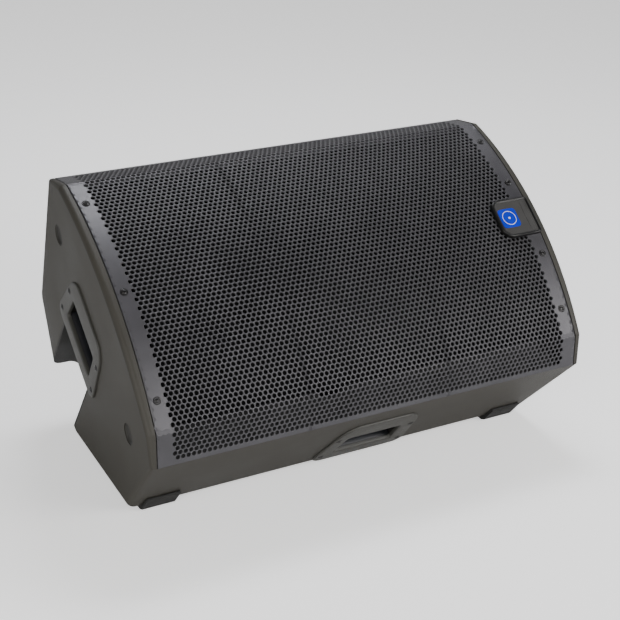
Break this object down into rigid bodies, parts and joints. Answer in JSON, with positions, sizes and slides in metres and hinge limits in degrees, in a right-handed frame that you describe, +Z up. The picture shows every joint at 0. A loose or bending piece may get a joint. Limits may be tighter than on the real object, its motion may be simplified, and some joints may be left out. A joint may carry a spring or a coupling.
{
  "type": "stage monitor wedge",
  "caption": "Moulded powered two-way loudspeaker lying on its monitor face: curved perforated grille, carry handles, rubber feet, pole socket, rear amplifier tray.",
  "frame": {"origin": "middle of the bounding box at floor level, under the cabinet as it lies on its monitor feet", "axes": "+X runs along the cabinet from the handle end to the pole-socket end, -Y is the side the slanted grille faces, +Z is up"},
  "size_m": [0.695, 0.4466, 0.4178],
  "materials": {
    "cabinet_plastic": "textured, satin",
    "handle_plastic": "fine texture",
    "pocket_plastic": "matt",
    "grille_steel": "powder coat",
    "black_plastic": "satin",
    "blue_plastic": "gloss",
    "rubber": "matt",
    "acoustic_foam": "open-cell foam sheet",
    "cone_paper": "coated pulp",
    "basket_steel": "satin black",
    "plated_steel": "zinc plated",
    "supply_can": "folded sheet",
    "ferrite": "matt",
    "copper_coil": "wound wire",
    "brass": "machined",
    "titanium": "drawn foil",
    "panel_aluminium": "black satin",
    "circuit_board": "solder mask",
    "spider_cloth": "resin-dipped cloth"
  },
  "bodies": {
    "cabinet": {"cabinet_shell": "cabinet_plastic", "rigging_plug_1": "cabinet_plastic", "rigging_plug_2": "cabinet_plastic", "top_handle_plate": "handle_plastic", "side_handle_plate": "handle_plastic", "top_handle_cup": "pocket_plastic", "side_handle_cup": "pocket_plastic", "grille": "grille_steel", "front_baffle": "black_plastic", "badge_housing": "black_plastic", "horn_waveguide": "black_plastic", "hf_rear_cover": "black_plastic", "port_tube_1": "black_plastic", "port_tube_2": "black_plastic", "pole_socket": "black_plastic", "input_socket_1": "black_plastic", "input_socket_2": "black_plastic", "link_socket": "black_plastic", "mains_inlet": "black_plastic", "badge_plate": "blue_plastic", "wedge_foot_1": "rubber", "wedge_foot_2": "rubber", "wedge_foot_3": "rubber", "wedge_foot_4": "rubber", "base_foot_1": "rubber", "base_foot_2": "rubber", "base_foot_3": "rubber", "base_foot_4": "rubber", "woofer_surround": "rubber", "grille_foam": "acoustic_foam", "woofer_basket": "basket_steel", "grille_screw_1": "plated_steel", "grille_screw_2": "plated_steel", "grille_screw_3": "plated_steel", "grille_screw_4": "plated_steel", "grille_screw_5": "plated_steel", "grille_screw_6": "plated_steel", "grille_screw_7": "plated_steel", "woofer_front_plate": "plated_steel", "woofer_back_plate": "plated_steel", "power_supply": "supply_can", "woofer_magnet": "ferrite", "hf_driver_body": "ferrite", "rigging_insert_1": "brass", "rigging_insert_2": "brass", "amp_tray": "panel_aluminium", "amp_heatsink": "panel_aluminium", "amp_board": "circuit_board", "woofer_spider": "spider_cloth"},
    "woofer_moving_parts": {"woofer_cone": "cone_paper", "woofer_dust_cap": "cone_paper", "woofer_voice_coil": "copper_coil"},
    "hf_moving_parts": {"hf_diaphragm": "titanium"},
    "level_knob_1": {"level_knob_1": "black_plastic"},
    "level_knob_2": {"level_knob_2": "black_plastic"},
    "level_knob_3": {"level_knob_3": "black_plastic"},
    "push_button_1": {"push_button_1": "black_plastic"},
    "push_button_2": {"push_button_2": "black_plastic"},
    "power_rocker": {"power_rocker": "black_plastic"}
  },
  "joints": [
    {"name": "cone_travel", "type": "slide", "parent": "cabinet", "child": "woofer_moving_parts", "axis": [0, -0.6433, 0.7657], "range_m": [-0.006, 0.006], "stiffness_N_per_m": 4000},
    {"name": "diaphragm_travel", "type": "slide", "parent": "cabinet", "child": "hf_moving_parts", "axis": [0, -0.6433, 0.7657], "range_m": [-0.0004, 0.0004], "stiffness_N_per_m": 3000},
    {"name": "level_knob_1_turn", "type": "hinge", "parent": "cabinet", "child": "level_knob_1", "pos_m": [-0.07, 0.15194, 0.07319], "axis": [0, 0.6898, -0.724], "range_deg": [-150, 150]},
    {"name": "level_knob_2_turn", "type": "hinge", "parent": "cabinet", "child": "level_knob_2", "pos_m": [-0.035, 0.15194, 0.07319], "axis": [0, 0.6898, -0.724], "range_deg": [-150, 150]},
    {"name": "level_knob_3_turn", "type": "hinge", "parent": "cabinet", "child": "level_knob_3", "pos_m": [0, 0.15194, 0.07319], "axis": [0, 0.6898, -0.724], "range_deg": [-150, 150]},
    {"name": "push_button_1_press", "type": "slide", "parent": "cabinet", "child": "push_button_1", "axis": [0, -0.6898, 0.724], "range_m": [0, 0.002], "stiffness_N_per_m": 500},
    {"name": "push_button_2_press", "type": "slide", "parent": "cabinet", "child": "push_button_2", "axis": [0, -0.6898, 0.724], "range_m": [0, 0.002], "stiffness_N_per_m": 500},
    {"name": "power_rocker_tilt", "type": "hinge", "parent": "cabinet", "child": "power_rocker", "pos_m": [0.185, 0.13753, 0.06222], "axis": [1, 0, 0], "range_deg": [0, 16]}
  ]
}
